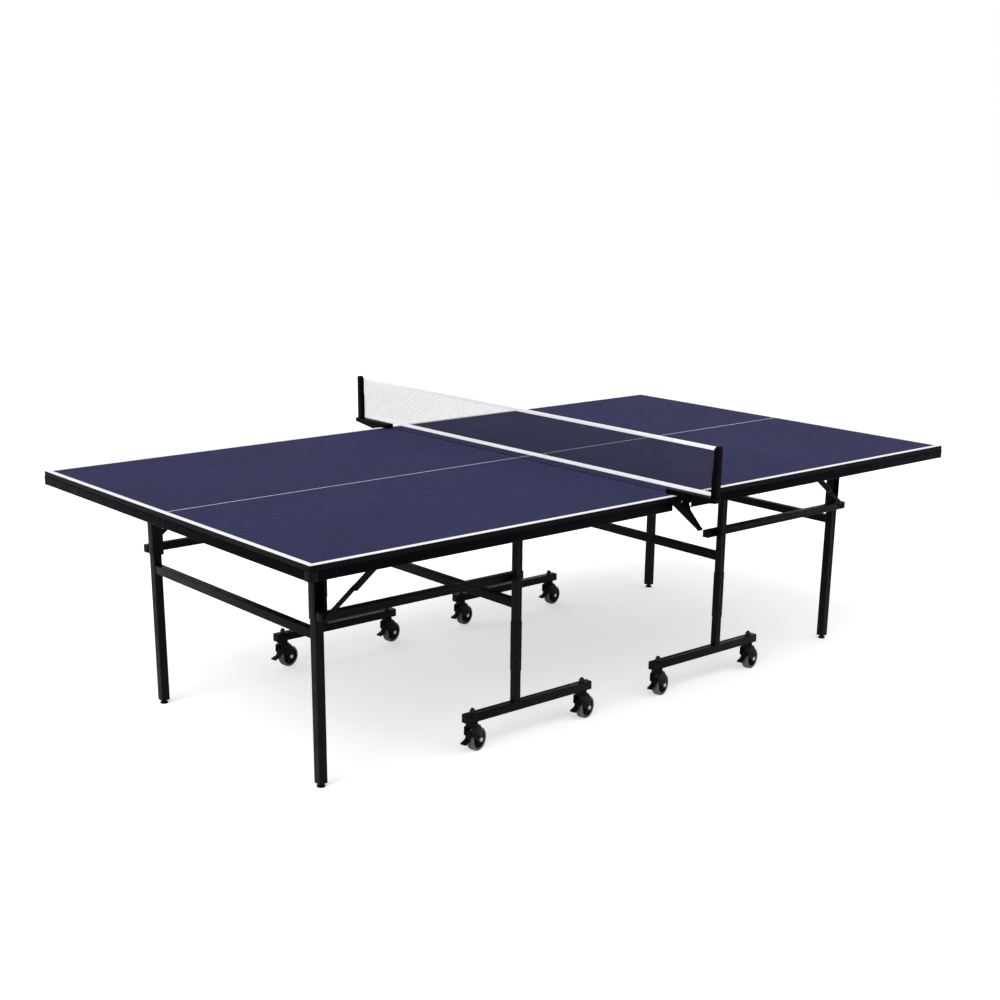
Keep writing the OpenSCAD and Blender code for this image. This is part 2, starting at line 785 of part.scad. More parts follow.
// Side view of the arm, with its inner end rounded
module clamp_arm_outline() {
  inner_y = clamp_inner_y + arm_end_r;
  translate([inner_y, arm_bottom]) square([clamp_outer_y - inner_y, clamp_arm_h]);
  translate([clamp_inner_y, arm_bottom + arm_end_r]) square([arm_end_r + 1, clamp_arm_h - 2 * arm_end_r]);
  for (z = [arm_bottom + arm_end_r, arm_top - arm_end_r]) translate([inner_y, z]) circle(arm_end_r);
}

module clamp_cheek() {
  polygon([
    [half_width + 3, arm_top], [half_width + 3, clamp_pin[1] - 7], [clamp_pin[0] + 6, clamp_pin[1] - 7],
    [clamp_pin[0] + 28, clamp_pin[1] + 2], [clamp_outer_y, arm_bottom + 1], [clamp_outer_y, arm_top]
  ]);
}

// Arm of the clamp, open below, with its pad on the board and the two cheeks that hold the lever
module clamp_body() {
  difference() {
    plate_yz(clamp_x0, clamp_x1) clamp_arm_outline();
    translate([clamp_x0 + clamp_wall, clamp_inner_y + arm_end_r, arm_bottom - 1])
      cube([clamp_w - 2 * clamp_wall, clamp_outer_y - clamp_inner_y - arm_end_r - clamp_wall,
            clamp_arm_h + 1 - clamp_wall]);
  }
  translate([clamp_x1 - free_gap - clamp_pad_w, clamp_inner_y + arm_end_r - 1, playing_height + seam])
    cube([clamp_pad_w, clamp_pad_length, arm_bottom - playing_height + 3]);
  difference() {
    union() {
      plate_yz(lever_x0 - lever_side_gap - clamp_wall, lever_x0 - lever_side_gap) clamp_cheek();
      plate_yz(lever_x1 + lever_side_gap, lever_x1 + lever_side_gap + clamp_wall) clamp_cheek();
    }
    rod_x(clamp_x0 - 1, clamp_x1 + 1, clamp_pin[0], clamp_pin[1], clamp_pin_r - eps);
  }
  rod_x(lever_x0 - lever_side_gap - clamp_wall - 1.5, lever_x1 + lever_side_gap + clamp_wall + 1.5,
        clamp_pin[0], clamp_pin[1], clamp_pin_r);
}

// Side view of a post, a little deeper in its lower half and chamfered at the top
module net_post_outline() {
  foot = arm_top + seam;
  top = playing_height + net_post_height;
  middle = (foot + top) / 2;
  polygon([
    [net_post_inner_y - net_post_flare, foot], [net_post_outer_y, foot], [net_post_outer_y, top],
    [net_post_inner_y + 8, top], [net_post_inner_y, top - 9], [net_post_inner_y, middle + 15],
    [net_post_inner_y - net_post_flare, middle - 15]
  ]);
}

module net_posts() {
  color(satin_black)
    both_sides() {
      clamp_body();
      plate_yz(net_post_x1 - net_post, net_post_x1) net_post_outline();
    }
}

module net() {
  y1 = net_post_inner_y - net_post_flare - free_gap;
  mesh_t = tape_t - 1.5;
  window = [2 * (y1 - tape_w), net_top - net_bottom - 2 * tape_w];
  color([0.85, 0.85, 0.86])
    difference() {
      translate([-tape_t / 2, -y1, net_bottom]) cube([tape_t, 2 * y1, net_top - net_bottom]);
      for (x = [mesh_t / 2, -mesh_t / 2 - tape_t])
        translate([x, -window[0] / 2, net_bottom + tape_w]) cube([tape_t, window[0], window[1]]);
    }
}

// Clamp lever: a jaw under the board, a channel round the pin and a tapered handle with a rolled end
module lever_outline() {
  polygon([
    [jaw_y, jaw_top - jaw_pad_t], [jaw_y, lever_bottom],
    lever_tip - [2.4, 2.1], lever_tip + [2.4, 2.1], [half_width + 43, board_bottom - 21],
    clamp_pin + [9, 6], clamp_pin + [-16, 7],
    [half_width + 2, jaw_top - jaw_pad_t]
  ]);
}

// Web that joins the lever's two cheeks along their lower edge
module lever_web() {
  polygon([
    [jaw_y, lever_bottom + lever_web_t], [jaw_y, lever_bottom],
    lever_tip - [2.4, 2.1], lever_tip
  ]);
}

module lever() {
  color(satin_black)
    difference() {
      union() {
        plate_yz(lever_x0, lever_x0 + lever_wall) lever_outline();
        plate_yz(lever_x1 - lever_wall, lever_x1) lever_outline();
        plate_yz(lever_x0 + lever_wall - eps, lever_x1 - lever_wall + eps) lever_web();
        translate([lever_x0, jaw_y, jaw_top - jaw_pad_t - 1]) cube([lever_w, jaw_w, jaw_pad_t + 1]);
        rod_x(lever_x0, lever_x1, lever_tip[0], lever_tip[1], lever_tip_r);
      }
      rod_x(lever_x0 - 1, lever_x1 + 1, clamp_pin[0], clamp_pin[1], clamp_pin_r + run_fit);
    }
}

// ---- nodes ----

half(-1) tabletop();  // left_tabletop
half(-1) apron_rails();  // left_apron_rails
half(-1) corner_caps();  // left_corner_caps
half(-1) under_frame();  // left_under_frame
half(-1) post_frame();  // left_post_frame
half(-1) post_sleeves();  // left_post_sleeves
half(-1) caster_bars();  // left_caster_bars
half(-1) bar_caps();  // left_bar_caps
half(-1) undercarriage_bolts();  // left_undercarriage_bolts
half(-1) end_legs();  // left_end_legs
half(-1) leg_plugs();  // left_leg_plugs
half(-1) mirror([0, 1, 0]) leveller();  // left_leveller_near
half(-1) leveller();  // left_leveller_far
half(-1) side_rails();  // left_side_rails
half(-1) brace_upper_links();  // left_brace_upper_links
half(-1) brace_lower_links();  // left_brace_lower_links
half(1) tabletop();  // right_tabletop
half(1) apron_rails();  // right_apron_rails
half(1) corner_caps();  // right_corner_caps
half(1) under_frame();  // right_under_frame
half(1) post_frame();  // right_post_frame
half(1) post_sleeves();  // right_post_sleeves
half(1) caster_bars();  // right_caster_bars
half(1) bar_caps();  // right_bar_caps
half(1) undercarriage_bolts();  // right_undercarriage_bolts
half(1) end_legs();  // right_end_legs
half(1) leg_plugs();  // right_leg_plugs
half(1) mirror([0, 1, 0]) leveller();  // right_leveller_near
half(1) leveller();  // right_leveller_far
half(1) side_rails();  // right_side_rails
half(1) brace_upper_links();  // right_brace_upper_links
half(1) brace_lower_links();  // right_brace_lower_links
fork(0);  // caster_1_fork
wheel(0);  // caster_1_wheel
brake_pedal(0);  // caster_1_brake_pedal
fork(1);  // caster_2_fork
wheel(1);  // caster_2_wheel
brake_pedal(1);  // caster_2_brake_pedal
fork(2);  // caster_3_fork
wheel(2);  // caster_3_wheel
brake_pedal(2);  // caster_3_brake_pedal
fork(3);  // caster_4_fork
wheel(3);  // caster_4_wheel
brake_pedal(3);  // caster_4_brake_pedal
fork(4);  // caster_5_fork
wheel(4);  // caster_5_wheel
brake_pedal(4);  // caster_5_brake_pedal
fork(5);  // caster_6_fork
wheel(5);  // caster_6_wheel
brake_pedal(5);  // caster_6_brake_pedal
fork(6);  // caster_7_fork
wheel(6);  // caster_7_wheel
brake_pedal(6);  // caster_7_brake_pedal
fork(7);  // caster_8_fork
wheel(7);  // caster_8_wheel
brake_pedal(7);  // caster_8_brake_pedal
net_posts();
net();
mirror([0, 1, 0]) lever();  // net_lever_near
lever();  // net_lever_far
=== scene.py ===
import json
import math

import bmesh
import bpy
from mathutils import Euler, Matrix, Vector


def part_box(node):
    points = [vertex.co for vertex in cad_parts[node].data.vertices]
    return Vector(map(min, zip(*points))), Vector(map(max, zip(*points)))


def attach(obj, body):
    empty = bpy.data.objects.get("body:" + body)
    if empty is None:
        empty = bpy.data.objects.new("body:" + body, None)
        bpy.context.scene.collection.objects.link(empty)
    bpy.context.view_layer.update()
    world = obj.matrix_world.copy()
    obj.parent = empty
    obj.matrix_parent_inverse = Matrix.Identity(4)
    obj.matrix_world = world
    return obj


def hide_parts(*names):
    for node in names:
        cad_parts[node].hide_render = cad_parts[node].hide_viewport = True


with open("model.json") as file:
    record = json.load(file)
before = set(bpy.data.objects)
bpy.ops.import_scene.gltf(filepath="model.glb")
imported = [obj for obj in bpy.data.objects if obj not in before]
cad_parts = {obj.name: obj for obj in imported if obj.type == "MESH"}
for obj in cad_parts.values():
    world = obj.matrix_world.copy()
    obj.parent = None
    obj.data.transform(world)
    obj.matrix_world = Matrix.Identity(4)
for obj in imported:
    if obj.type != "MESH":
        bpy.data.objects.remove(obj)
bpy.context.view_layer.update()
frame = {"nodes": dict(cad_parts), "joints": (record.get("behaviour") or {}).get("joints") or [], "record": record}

MM = 0.001
SIDES = ("left", "right")

# ---------------------------------------------------------------- camera

CAMERA_PLACE = (-3.5003, -3.9705, 1.7823)
CAMERA_HEADING = 49.206
CAMERA_DOWN = 18.051
CAMERA_ROLL = 0.6572
CAMERA_LENS = 56.275
CAMERA_SENSOR = 36
CAMERA_SHIFT_Y = 0.1524
CAMERA_REACH = 200


def add_camera():
    """Places the camera by its heading, its tilt down and its roll, in degrees."""
    heading, down, roll = (math.radians(a) for a in (CAMERA_HEADING, CAMERA_DOWN, CAMERA_ROLL))
    ahead = Vector((
        math.cos(heading) * math.cos(down),
        math.sin(heading) * math.cos(down),
        -math.sin(down),
    ))
    level = Vector((math.sin(heading), -math.cos(heading), 0))
    upward = level.cross(ahead)
    right = level * math.cos(roll) + upward * math.sin(roll)
    up = upward * math.cos(roll) - level * math.sin(roll)
    data = bpy.data.cameras.new("camera")
    data.lens = CAMERA_LENS
    data.sensor_width = CAMERA_SENSOR
    data.shift_y = CAMERA_SHIFT_Y
    data.clip_end = CAMERA_REACH
    camera = bpy.data.objects.new("camera", data)
    bpy.context.scene.collection.objects.link(camera)
    turn = Matrix((right, up, -ahead)).transposed()
    camera.matrix_world = Matrix.Translation(CAMERA_PLACE) @ turn.to_4x4()
    bpy.context.scene.camera = camera


add_camera()

# ---------------------------------------------------------------- materials

NOISE_LOW, NOISE_HIGH = 0.35, 0.65  # most of a noise's values lie between these
WAVES_PER_METRE = 3.2  # how many bands a wave texture has at scale 1


def linear(*rgb):
    """A colour written in 0 to 255, as the surface looks, in the shader's linear values."""
    return tuple(
        c / 255 / 12.92 if c <= 10 else ((c / 255 + 0.055) / 1.055) ** 2.4 for c in rgb
    ) + (1,)


def shade(colour, share):
    """The colour made lighter or darker by a share."""
    return tuple(min(1, c * share) for c in colour[:3]) + (1,)


class Finish:
    """A Principled material with helpers for noise, tints and bumps on Object coordinates."""

    def __init__(self, name, colour, gloss=0.5, metallic=0.0):
        self.material = bpy.data.materials.new(name)
        self.material.use_nodes = True
        self.nodes = self.material.node_tree.nodes
        self.links = self.material.node_tree.links
        self.shader = self.nodes["Principled BSDF"]
        self.shader.inputs["Base Color"].default_value = colour
        self.shader.inputs["Metallic"].default_value = metallic
        self.shader.inputs["Specular IOR Level"].default_value = gloss
        self.place = self.nodes.new("ShaderNodeTexCoord").outputs["Object"]
        self.height = None

    def noise(self, size, detail):
        """Noise whose grains are about size metres across."""
        texture = self.nodes.new("ShaderNodeTexNoise")
        texture.inputs["Scale"].default_value = 1 / size
        texture.inputs["Detail"].default_value = detail
        self.links.new(self.place, texture.inputs["Vector"])
        return texture.outputs["Fac"]

    def tint(self, factor, dark, light):
        """Lets the colour run from dark to light with the factor."""
        ramp = self.nodes.new("ShaderNodeValToRGB")
        ramp.color_ramp.elements[0].position = NOISE_LOW
        ramp.color_ramp.elements[0].color = dark
        ramp.color_ramp.elements[1].position = NOISE_HIGH
        ramp.color_ramp.elements[1].color = light
        self.links.new(factor, ramp.inputs["Fac"])
        self.links.new(ramp.outputs["Color"], self.shader.inputs["Base Color"])

    def rough(self, factor, low, high):
        """Lets the roughness run from low to high with the factor."""
        node = self.nodes.new("ShaderNodeMapRange")
        node.inputs["From Min"].default_value = NOISE_LOW
        node.inputs["From Max"].default_value = NOISE_HIGH
        node.inputs["To Min"].default_value = low
        node.inputs["To Max"].default_value = high
        self.links.new(factor, node.inputs["Value"])
        self.links.new(node.outputs["Result"], self.shader.inputs["Roughness"])

    def bump(self, factor, depth, strength):
        """Raises the surface by the factor times depth metres; calls stack."""
        node = self.nodes.new("ShaderNodeBump")
        node.inputs["Distance"].default_value = depth
        node.inputs["Strength"].default_value = strength
        self.links.new(factor, node.inputs["Height"])
        if self.height is not None:
            self.links.new(self.height, node.inputs["Normal"])
        self.height = node.outputs["Normal"]
        self.links.new(self.height, self.shader.inputs["Normal"])


def layered(name, colour, patches, sheen, grains, gloss=0.5, metallic=0.0):
    """A finish of noise layers, whose rows all start with a grain's size and its detail.

    The row of patches ends with the darkest and the lightest share of the colour, the row of
    sheen with the lowest and the highest roughness, and each row of grains with the depth and
    the strength of its bump.
    """
    finish = Finish(name, colour, gloss, metallic)
    size, detail, dark, light = patches
    finish.tint(finish.noise(size, detail), shade(colour, dark), shade(colour, light))
    size, detail, low, high = sheen
    finish.rough(finish.noise(size, detail), low, high)
    for size, detail, depth, strength in grains:
        finish.bump(finish.noise(size, detail), depth, strength)
    return finish


def powder_coat(name, colour, low=0.40, high=0.52, grain=0.0009, gloss=0.05):
    """Powder-coated steel: a fine orange peel, with duller and brighter patches."""
    peel = [(grain, 2, 0.00012, 0.6), (grain * 5, 2, 0.0002, 0.25)]
    return layered(name, colour, (0.09, 6, 0.82, 1.30), (0.05, 5, low, high), peel, gloss)


def moulded_plastic(name, colour, low=0.48, high=0.62, grain=0.0005):
    spark = [(grain, 3, 0.00012, 0.6)]
    return layered(name, colour, (0.012, 4, 0.85, 1.2), (0.006, 4, low, high), spark, 0.06)


def plated_steel(name, colour, low, high):
    scratches = [(0.0006, 4, 0.00005, 0.5)]
    patches, sheen = (0.004, 4, 0.8, 1.15), (0.002, 5, low, high)
    return layered(name, colour, patches, sheen, scratches, metallic=0.85)


def woven_cloth(name, colour, thread):
    """Plain weave: two crossed waves a thread apart, on fibres of mixed shades."""
    finish = layered(name, colour, (thread * 2, 5, 0.88, 1), (thread * 2, 5, 0.8, 0.95), [])
    for axis in ("Y", "Z"):
        wave = finish.nodes.new("ShaderNodeTexWave")
        wave.bands_direction = axis
        wave.inputs["Scale"].default_value = 1 / thread / WAVES_PER_METRE
        wave.inputs["Distortion"].default_value = 0.6
        finish.links.new(finish.place, wave.inputs["Vector"])
        finish.bump(wave.outputs["Fac"], 0.00015, 0.6)
    finish.shader.inputs["Sheen Weight"].default_value = 0.15
    return finish


BLACK = linear(8, 8, 10)
FINISHES = {
    "board": layered(
        "navy_board_paint",
        linear(46, 48, 80),
        patches=(0.45, 3, 0.94, 1.06),
        sheen=(0.03, 6, 0.66, 0.76),
        grains=[(0.0016, 3, 0.00004, 0.5)],
        gloss=0.02,
    ),
    "line": layered(
        "white_line_paint",
        linear(240, 240, 244),
        patches=(0.05, 5, 0.93, 1),
        sheen=(0.01, 4, 0.42, 0.55),
        grains=[(0.0012, 3, 0.00005, 0.5)],
        gloss=0.2,
    ),
    "band": layered(
        "black_edge_band",
        linear(6, 6, 9),
        patches=(0.04, 4, 0.85, 1.25),
        sheen=(0.004, 4, 0.45, 0.6),
        grains=[(0.0007, 3, 0.00008, 0.5)],
        gloss=0.04,
    ),
    "underside": layered(
        "sealed_hardboard_underside",
        linear(46, 41, 38),
        patches=(0.006, 6, 0.75, 1.35),
        sheen=(0.003, 4, 0.65, 0.85),
        grains=[(0.0012, 5, 0.0002, 0.6)],
        gloss=0.2,
    ),
    "frame": powder_coat("black_powder_coat", BLACK),
    "apron": powder_coat("black_apron_coat", linear(3, 3, 6), 0.50, 0.62, gloss=0.02),
    "caster": powder_coat("black_caster_steel", BLACK, 0.36, 0.50, 0.0007),
    "clamp": powder_coat("black_clamp_enamel", linear(2, 2, 3), 0.44, 0.56, 0.0008, 0.03),
    "plastic": moulded_plastic("black_moulded_plastic", linear(6, 6, 8)),
    "hub": moulded_plastic("black_hub_nylon", linear(12, 12, 14), 0.36, 0.5),
    "pad": moulded_plastic("clamp_pad_rubber", linear(14, 14, 15), 0.7, 0.85, 0.0009),
    "bolt": plated_steel("black_zinc_bolts", linear(20, 20, 22), 0.36, 0.5),
    "rivet": plated_steel("zinc_axle_ends", linear(168, 169, 174), 0.26, 0.42),
    "tyre": layered(
        "grey_tyre_rubber",
        linear(88, 88, 92),
        patches=(0.006, 5, 0.86, 1.12),
        sheen=(0.003, 5, 0.55, 0.75),
        grains=[(0.0008, 4, 0.0002, 0.6)],
        gloss=0.25,
    ),
    "yarn": layered(
        "black_net_yarn",
        linear(38, 36, 34),
        patches=(0.003, 4, 0.7, 1.4),
        sheen=(0.002, 3, 0.6, 0.8),
        grains=[(0.0006, 3, 0.0001, 0.6)],
        gloss=0.15,
    ),
    "tape": woven_cloth("white_cotton_tape", linear(248, 248, 251), 0.0006),
    "stitch": woven_cloth("white_stitch_thread", linear(232, 232, 236), 0.0004),
}
MATERIALS = {key: finish.material for key, finish in FINISHES.items()}

MATERIAL_OF_ENDING = {
    "tabletop": "board",
    "apron_rails": "apron",
    "corner_caps": "plastic",
    "under_frame": "frame",
    "post_frame": "frame",
    "post_sleeves": "frame",
    "caster_bars": "frame",
    "bar_caps": "plastic",
    "undercarriage_bolts": "bolt",
    "end_legs": "frame",
    "leg_plugs": "plastic",
    "leveller_near": "plastic",
    "leveller_far": "plastic",
    "side_rails": "frame",
    "brace_upper_links": "frame",
    "brace_lower_links": "frame",
    "fork": "caster",
    "wheel": "hub",
    "brake_pedal": "plastic",
    "net_posts": "clamp",
    "net": "tape",
    "net_lever_near": "clamp",
    "net_lever_far": "clamp",
}


def material_of(node):
    """The material of a CAD node, by the end of its name."""
    return next(MATERIALS[key] for end, key in MATERIAL_OF_ENDING.items() if node.endswith(end))


def dress(obj, material):
    obj.data.materials.clear()
    obj.data.materials.append(material)


for name, node in frame["nodes"].items():
    dress(node, material_of(name))

BODY_OF = {
    node: body for body, nodes in frame["record"]["behaviour"]["bodies"].items() for node in nodes
}

# ---------------------------------------------------------------- modelling helpers

NEAR = MM / 10  # places closer than this count as one
FACING = 0.9  # the least share of a normal that points along the axis asked for
BEVEL_ANGLE = 35
MERGE_WITHIN = 0.000004
FLAT_WITHIN = 0.5


def deselect():
    bpy.ops.object.select_all(action="DESELECT")


def pick(obj):
    """Selects one object alone and makes it the active one."""
    deselect()
    obj.select_set(True)
    bpy.context.view_layer.objects.active = obj


def settle(obj):
    """Applies an object's place, turn and size to its mesh."""
    pick(obj)
    bpy.ops.object.transform_apply(location=True, rotation=True, scale=True)


def apply_modifiers(obj):
    pick(obj)
    for modifier in list(obj.modifiers):
        bpy.ops.object.modifier_apply(modifier=modifier.name)


def bevel(obj, width, segments=2):
    modifier = obj.modifiers.new("edges", "BEVEL")
    modifier.width = width
    modifier.segments = segments
    modifier.limit_method = "ANGLE"
    modifier.angle_limit = math.radians(BEVEL_ANGLE)
    apply_modifiers(obj)


def repeat(obj, step, count):
    """Turns a piece into a row of pieces, each a step from the last."""
    modifier = obj.modifiers.new("row", "ARRAY")
    modifier.use_relative_offset = False
    modifier.use_constant_offset = True
    modifier.constant_offset_displace = step
    modifier.count = count
    apply_modifiers(obj)


def smooth(obj, angle=32):
    pick(obj)
    bpy.ops.object.shade_smooth_by_angle(angle=math.radians(angle))


def hand_over(obj, body, replaces=()):
    """Settles a piece, lets it ride on its body and hides the nodes that it stands for."""
    settle(obj)
    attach(obj, body)
    if replaces:
        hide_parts(*replaces)
    return obj


def join(objects, name):
    deselect()
    for obj in objects:
        obj.select_set(True)
    bpy.context.view_layer.objects.active = objects[0]
    bpy.ops.object.join()
    joined = bpy.context.view_layer.objects.active
    joined.name = name
    joined.data.name = name
    return joined


def bar(name, low, high):
    """A straight bar between two corners, to be shaped further."""
    low, high = Vector(low), Vector(high)
    deselect()
    bpy.ops.mesh.primitive_cube_add(size=1, location=(low + high) / 2, scale=high - low)
    obj = bpy.context.object
    obj.name = name
    settle(obj)
    return obj


def placed_copy(model, name, matrix):
    """A copy of a finished model with its own mesh, moved to where it belongs."""
    copy = model.copy()
    copy.data = model.data.copy()
    copy.name = name
    copy.matrix_world = matrix
    bpy.context.scene.collection.objects.link(copy)
    settle(copy)
    return copy


def merged_copy(node, name):
    """A copy of a CAD node with its loose triangles merged and its flat faces made whole."""
    copy = frame["nodes"][node].copy()
    copy.data = frame["nodes"][node].data.copy()
    copy.name = name
    for key in list(copy.keys()):
        if key.startswith("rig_"):
            del copy[key]
    copy.parent = None
    copy.matrix_world = Matrix.Identity(4)
    bpy.context.scene.collection.objects.link(copy)
    pick(copy)
    bpy.ops.object.mode_set(mode="EDIT")
    bpy.ops.mesh.select_all(action="SELECT")
    bpy.ops.mesh.remove_doubles(threshold=MERGE_WITHIN)
    bpy.ops.mesh.dissolve_limited(angle_limit=math.radians(FLAT_WITHIN))
    bpy.ops.object.mode_set(mode="OBJECT")
    return copy


def eased(node, width, segments=2):
    """Stands for a CAD node with the same piece, its sharp edges eased as real edges are."""
    piece = merged_copy(node, "eased_" + node)
    bevel(piece, width, segments)
    smooth(piece)
    dress(piece, material_of(node))
    return hand_over(piece, BODY_OF[node], [node])


def faces_where(obj, test):
    """Selects, in edit mode, the faces whose centre and normal pass the test."""
    mesh = bmesh.from_edit_mesh(obj.data)
    for face in mesh.faces:
        face.select = test(face.calc_center_median(), face.normal)
    mesh.select_flush_mode()
    bmesh.update_edit_mesh(obj.data)


def edges_where(obj, test):
    """Selects, in edit mode, the edges whose two ends pass the test."""
    mesh = bmesh.from_edit_mesh(obj.data)
    for face in mesh.faces:
        face.select = False
    for edge in mesh.edges:
        edge.select = test(edge.verts[0].co, edge.verts[1].co)
    bmesh.update_edit_mesh(obj.data)


def from_axis(place):
    """How far a place is from the Z axis."""
    return math.hypot(place.x, place.y)


# ---------------------------------------------------------------- playing boards

BORDER_W = 20 * MM
CENTRE_LINE_W = 3 * MM
BOARD_EDGE_R = 0.7 * MM
BOARD_CORNER_R = 6 * MM
BOARD_MATERIALS = ("board", "line", "band", "underside")
BOARD, LINE, BAND, UNDERSIDE = range(len(BOARD_MATERIALS))
BOARD_SMOOTH_ANGLE = 20
LEVEL = 0.98  # the least share of a level face's normal that points up or down


def round_board(board, low, high, end_x):
    """Rounds the two corners at the table's end, then eases the top and bottom edges."""
    bpy.ops.object.mode_set(mode="EDIT")
    bpy.ops.mesh.select_mode(type="EDGE")
    tall = (high.z - low.z) / 2
    edges_where(
        board,
        lambda a, b: abs(a.z - b.z) > tall and all(abs(v.x - end_x) < MM for v in (a, b)),
    )
    bpy.ops.mesh.bevel(offset=BOARD_CORNER_R, segments=6)
    bpy.ops.mesh.select_mode(type="FACE")
    for z in (low.z, high.z):
        faces_where(board, lambda c, n: abs(c.z - z) < NEAR and abs(n.z) > FACING)
        bpy.ops.mesh.region_to_loop()
        bpy.ops.mesh.bevel(offset=BOARD_EDGE_R, segments=2)
        bpy.ops.mesh.select_mode(type="FACE")
    bpy.ops.object.mode_set(mode="OBJECT")


def cut_along(board, cuts):
    """Cuts the board's faces along planes, each given by a place and a normal."""
    bpy.ops.object.mode_set(mode="EDIT")
    for place, normal in cuts:
        bpy.ops.mesh.select_all(action="SELECT")
        bpy.ops.mesh.bisect(plane_co=place, plane_no=normal)
    bpy.ops.object.mode_set(mode="OBJECT")


def playing_board(side):
    """A board with its painted lines, which are faces of its own top, and its edge band."""
    node = side + "_tabletop"
    low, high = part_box(node)
    outward = 1 if side == "right" else -1
    end_x = high.x if outward > 0 else low.x

    board = bar(side + "_playing_board", low, high)
    round_board(board, low, high, end_x)
    cut_along(board, [
        ((end_x - outward * BORDER_W, 0, 0), (1, 0, 0)),
        ((0, high.y - BORDER_W, 0), (0, 1, 0)),
        ((0, low.y + BORDER_W, 0), (0, 1, 0)),
        ((0, CENTRE_LINE_W / 2, 0), (0, 1, 0)),
        ((0, -CENTRE_LINE_W / 2, 0), (0, 1, 0)),
    ])

    for key in BOARD_MATERIALS:
        board.data.materials.append(MATERIALS[key])
    for face in board.data.polygons:
        c, n = face.center, face.normal
        in_border = abs(c.y) > high.y - BORDER_W or outward * (end_x - c.x) < BORDER_W
        if n.z > LEVEL and c.z > high.z - NEAR:
            painted = in_border or abs(c.y) < CENTRE_LINE_W / 2
            face.material_index = LINE if painted else BOARD
        else:
            face.material_index = UNDERSIDE if n.z < -LEVEL else BAND
    smooth(board, BOARD_SMOOTH_ANGLE)
    hand_over(board, side + "_top", [node])


# ---------------------------------------------------------------- frames

EASED_MM = {
    "apron_rails": 0.4,
    "corner_caps": 1.2,
    "under_frame": 0.5,
    "post_frame": 0.3,
    "post_sleeves": 0.4,
    "caster_bars": 0.3,
    "bar_caps": 1.0,
    "undercarriage_bolts": 0.4,
    "end_legs": 0.3,
    "leg_plugs": 0.6,
    "leveller_near": 0.8,
    "leveller_far": 0.8,
    "side_rails": 0.5,
    "brace_upper_links": 0.6,
    "brace_lower_links": 0.6,
}


def eased_frames():
    for side in SIDES:
        for part, width in EASED_MM.items():
            eased(f"{side}_{part}", width * MM)


# ---------------------------------------------------------------- casters

CASTERS = range(1, 9)
WHEEL_R = 37.5 * MM
TYRE_W = 24 * MM
RIM_R = 29.5 * MM
AXLE_R = 4 * MM
GROOVE_W = 1.2 * MM
GROOVE_DEPTH = 0.9 * MM
GROOVE_FROM_MIDDLE = 2.6 * MM
SHOULDER_R = 3.8 * MM
BEAD_R = 0.8 * MM
HUB_W = TYRE_W - 2 * MM
HUB_WALL = 4 * MM
HUB_DISH = 5 * MM
BOSS_R = 11.5 * MM
BOSS_PROUD = 1.4 * MM
AXLE_PLAY = 0.1 * MM
RIBS = 6
RIB_W = 2 * MM
RIB_SUNK = 0.8 * MM
ROUND_SMOOTH_ANGLE = 40
RIVET_R = 6.6 * MM
CHEEK_FROM_MIDDLE = 17.1 * MM
FORK_EASE = 0.5 * MM
PEDAL_EASE = 0.9 * MM
HUB_EASE = 0.6 * MM
RIB_EASE = 0.5 * MM


def turned(name, radius, depth):
    """Starts a round piece about Z and opens it to be shaped by its faces."""
    deselect()
    bpy.ops.mesh.primitive_cylinder_add(vertices=64, radius=radius, depth=depth)
    piece = bpy.context.object
    piece.name = name
    bpy.ops.object.mode_set(mode="EDIT")
    bpy.ops.mesh.select_mode(type="FACE")
    return piece


def through_hole(piece):
    """Takes out the faces that close the two ends in the middle and joins their rims."""
    faces_where(piece, lambda c, n: abs(n.z) > FACING and from_axis(c) < MM)
    bpy.ops.mesh.delete(type="FACE")
    bpy.ops.mesh.select_mode(type="EDGE")
    bpy.ops.mesh.select_all(action="DESELECT")
    bpy.ops.mesh.select_non_manifold()
    bpy.ops.mesh.bridge_edge_loops()
    bpy.ops.mesh.select_mode(type="FACE")


def tyre():
    """A rubber tyre about Z: a ring with rounded shoulders and two tread grooves."""
    ring = turned("tyre", WHEEL_R, TYRE_W)
    faces_where(ring, lambda c, n: abs(n.z) > FACING and from_axis(c) < MM)
    bpy.ops.mesh.inset(thickness=WHEEL_R - RIM_R)
    through_hole(ring)
    inner, outer = GROOVE_FROM_MIDDLE, GROOVE_FROM_MIDDLE + GROOVE_W
    for z in (-outer, -inner, inner, outer):
        bpy.ops.mesh.select_all(action="SELECT")
        bpy.ops.mesh.bisect(plane_co=(0, 0, z), plane_no=(0, 0, 1))
    faces_where(ring, lambda c, n: from_axis(c) > WHEEL_R - MM and inner < abs(c.z) < outer)
    bpy.ops.mesh.extrude_region_shrink_fatten(
        TRANSFORM_OT_shrink_fatten={"value": -GROOVE_DEPTH}
    )
    bpy.ops.mesh.select_mode(type="EDGE")
    for at_radius, offset, segments in (
        (lambda r: r > WHEEL_R - NEAR, SHOULDER_R, 5),
        (lambda r: r < RIM_R + MM / 2, BEAD_R, 2),
    ):
        edges_where(
            ring,
            lambda a, b: all(
                at_radius(from_axis(v)) and abs(v.z) > TYRE_W / 2 - NEAR for v in (a, b)
            ),
        )
        bpy.ops.mesh.bevel(offset=offset, segments=segments)
    bpy.ops.object.mode_set(mode="OBJECT")
    smooth(ring, ROUND_SMOOTH_ANGLE)
    dress(ring, MATERIALS["tyre"])
    return ring


